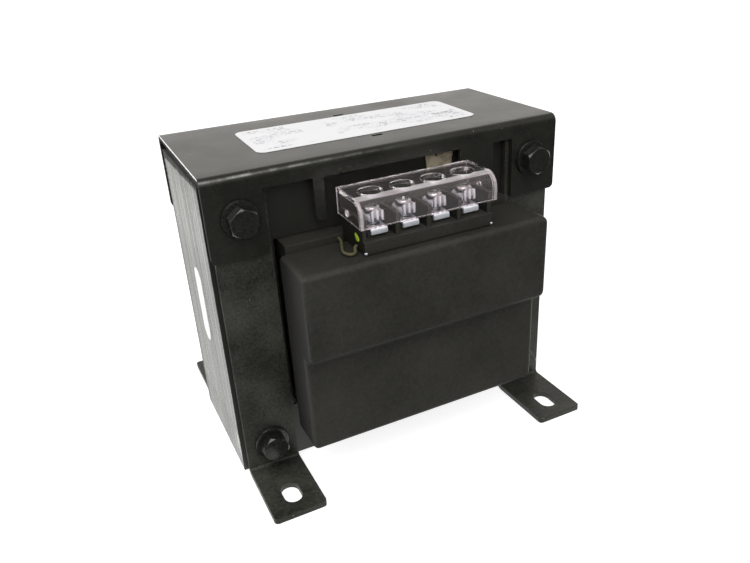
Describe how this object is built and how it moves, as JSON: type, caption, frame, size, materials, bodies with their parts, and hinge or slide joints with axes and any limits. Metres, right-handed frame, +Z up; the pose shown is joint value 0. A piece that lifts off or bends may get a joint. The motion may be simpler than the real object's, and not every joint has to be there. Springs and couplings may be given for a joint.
{
  "type": "control transformer",
  "caption": "Open core-and-coil control transformer on slotted feet, with a folded steel top cover, moulded coil covers and guarded screw terminals.",
  "frame": {"origin": "on the floor, midway between the four feet", "axes": "+Z up, +X to the right seen from the front, -Y towards the front, where the labelled terminals face"},
  "size_m": [0.1144, 0.0984, 0.0994],
  "materials": {
    "core_steel": "stacked lamination edges, dull grey, dark varnish on the faces",
    "black_paint": "satin black enamel on folded steel",
    "black_steel": "glossy black oxide on steel",
    "black_plastic": "moulded black, soft sheen",
    "bobbin_nylon": "black nylon",
    "copper_wire": "enamelled copper wire, varnished",
    "insulating_paper": "tan electrical paper",
    "coil_wrap": "dark varnished wrap",
    "tinned_metal": "tin plate",
    "bright_screw": "bright zinc plate",
    "clear_plastic": "clear moulded plastic",
    "label_white": "white label stock",
    "lead_sleeve": "yellowish varnished sleeving"
  },
  "bodies": {
    "frame": {"bobbin": "bobbin_nylon", "bolt_lower_left": "black_steel", "bolt_lower_right": "black_steel", "bolt_upper_left": "black_steel", "bolt_upper_right": "black_steel", "coil_cover_front": "black_plastic", "coil_cover_rear": "black_plastic", "coil_wrap": "coil_wrap", "e_laminations": "core_steel", "foot_bracket_front_left": "black_paint", "foot_bracket_front_right": "black_paint", "foot_bracket_rear_left": "black_paint", "foot_bracket_rear_right": "black_paint", "i_laminations": "core_steel", "insulating_paper": "insulating_paper", "lead_wire_front": "lead_sleeve", "lead_wire_rear": "lead_sleeve", "nut_lower_left": "black_steel", "nut_lower_right": "black_steel", "nut_upper_left": "black_steel", "nut_upper_right": "black_steel", "primary_winding": "copper_wire", "rating_label": "label_white", "secondary_winding": "copper_wire", "side_label": "label_white", "terminal_block_front": "black_plastic", "terminal_block_rear": "black_plastic", "terminal_plate_front_1": "tinned_metal", "terminal_plate_front_2": "tinned_metal", "terminal_plate_front_3": "tinned_metal", "terminal_plate_front_4": "tinned_metal", "terminal_plate_rear_1": "tinned_metal", "terminal_plate_rear_2": "tinned_metal", "terminal_plate_rear_3": "tinned_metal", "terminal_plate_rear_4": "tinned_metal", "top_cover": "black_paint", "washer_lower_left": "black_steel", "washer_lower_right": "black_steel", "washer_upper_left": "black_steel", "washer_upper_right": "black_steel", "winding_insulation": "insulating_paper"},
    "guard_front": {"finger_guard_front": "clear_plastic"},
    "clamp_front_1": {"clamp_plate_front_1": "tinned_metal"},
    "screw_front_1": {"terminal_screw_front_1": "bright_screw"},
    "clamp_front_2": {"clamp_plate_front_2": "tinned_metal"},
    "screw_front_2": {"terminal_screw_front_2": "bright_screw"},
    "clamp_front_3": {"clamp_plate_front_3": "tinned_metal"},
    "screw_front_3": {"terminal_screw_front_3": "bright_screw"},
    "clamp_front_4": {"clamp_plate_front_4": "tinned_metal"},
    "screw_front_4": {"terminal_screw_front_4": "bright_screw"},
    "guard_rear": {"finger_guard_rear": "clear_plastic"},
    "clamp_rear_1": {"clamp_plate_rear_1": "tinned_metal"},
    "screw_rear_1": {"terminal_screw_rear_1": "bright_screw"},
    "clamp_rear_2": {"clamp_plate_rear_2": "tinned_metal"},
    "screw_rear_2": {"terminal_screw_rear_2": "bright_screw"},
    "clamp_rear_3": {"clamp_plate_rear_3": "tinned_metal"},
    "screw_rear_3": {"terminal_screw_rear_3": "bright_screw"},
    "clamp_rear_4": {"clamp_plate_rear_4": "tinned_metal"},
    "screw_rear_4": {"terminal_screw_rear_4": "bright_screw"}
  },
  "joints": [
    {"name": "guard_front_lift", "type": "slide", "parent": "frame", "child": "guard_front", "axis": [0, 0, 1], "range_m": [0, 0.02]},
    {"name": "clamp_front_1_slide", "type": "slide", "parent": "frame", "child": "clamp_front_1", "axis": [0, 0, -1], "range_m": [0, 0.0014]},
    {"name": "screw_front_1_turn", "type": "hinge", "parent": "clamp_front_1", "child": "screw_front_1", "pos_m": [-0.0137, -0.0373, 0.0854], "axis": [0, 0, -1], "range_deg": [0, 640]},
    {"name": "clamp_front_2_slide", "type": "slide", "parent": "frame", "child": "clamp_front_2", "axis": [0, 0, -1], "range_m": [0, 0.0014]},
    {"name": "screw_front_2_turn", "type": "hinge", "parent": "clamp_front_2", "child": "screw_front_2", "pos_m": [-0.0039, -0.0373, 0.0854], "axis": [0, 0, -1], "range_deg": [0, 640]},
    {"name": "clamp_front_3_slide", "type": "slide", "parent": "frame", "child": "clamp_front_3", "axis": [0, 0, -1], "range_m": [0, 0.0014]},
    {"name": "screw_front_3_turn", "type": "hinge", "parent": "clamp_front_3", "child": "screw_front_3", "pos_m": [0.0059, -0.0373, 0.0854], "axis": [0, 0, -1], "range_deg": [0, 640]},
    {"name": "clamp_front_4_slide", "type": "slide", "parent": "frame", "child": "clamp_front_4", "axis": [0, 0, -1], "range_m": [0, 0.0014]},
    {"name": "screw_front_4_turn", "type": "hinge", "parent": "clamp_front_4", "child": "screw_front_4", "pos_m": [0.0157, -0.0373, 0.0854], "axis": [0, 0, -1], "range_deg": [0, 640]},
    {"name": "guard_rear_lift", "type": "slide", "parent": "frame", "child": "guard_rear", "axis": [0, 0, 1], "range_m": [0, 0.02]},
    {"name": "clamp_rear_1_slide", "type": "slide", "parent": "frame", "child": "clamp_rear_1", "axis": [0, 0, -1], "range_m": [0, 0.0014]},
    {"name": "screw_rear_1_turn", "type": "hinge", "parent": "clamp_rear_1", "child": "screw_rear_1", "pos_m": [0.0137, 0.0373, 0.0854], "axis": [0, 0, -1], "range_deg": [0, 640]},
    {"name": "clamp_rear_2_slide", "type": "slide", "parent": "frame", "child": "clamp_rear_2", "axis": [0, 0, -1], "range_m": [0, 0.0014]},
    {"name": "screw_rear_2_turn", "type": "hinge", "parent": "clamp_rear_2", "child": "screw_rear_2", "pos_m": [0.0039, 0.0373, 0.0854], "axis": [0, 0, -1], "range_deg": [0, 640]},
    {"name": "clamp_rear_3_slide", "type": "slide", "parent": "frame", "child": "clamp_rear_3", "axis": [0, 0, -1], "range_m": [0, 0.0014]},
    {"name": "screw_rear_3_turn", "type": "hinge", "parent": "clamp_rear_3", "child": "screw_rear_3", "pos_m": [-0.0059, 0.0373, 0.0854], "axis": [0, 0, -1], "range_deg": [0, 640]},
    {"name": "clamp_rear_4_slide", "type": "slide", "parent": "frame", "child": "clamp_rear_4", "axis": [0, 0, -1], "range_m": [0, 0.0014]},
    {"name": "screw_rear_4_turn", "type": "hinge", "parent": "clamp_rear_4", "child": "screw_rear_4", "pos_m": [-0.0157, 0.0373, 0.0854], "axis": [0, 0, -1], "range_deg": [0, 640]}
  ],
  "couplings": [
    {"joint": "screw_front_1_turn", "follows": "clamp_front_1_slide", "rad_per_m": 7913.3},
    {"joint": "screw_front_2_turn", "follows": "clamp_front_2_slide", "rad_per_m": 7913.3},
    {"joint": "screw_front_3_turn", "follows": "clamp_front_3_slide", "rad_per_m": 7913.3},
    {"joint": "screw_front_4_turn", "follows": "clamp_front_4_slide", "rad_per_m": 7913.3},
    {"joint": "screw_rear_1_turn", "follows": "clamp_rear_1_slide", "rad_per_m": 7913.3},
    {"joint": "screw_rear_2_turn", "follows": "clamp_rear_2_slide", "rad_per_m": 7913.3},
    {"joint": "screw_rear_3_turn", "follows": "clamp_rear_3_slide", "rad_per_m": 7913.3},
    {"joint": "screw_rear_4_turn", "follows": "clamp_rear_4_slide", "rad_per_m": 7913.3}
  ]
}
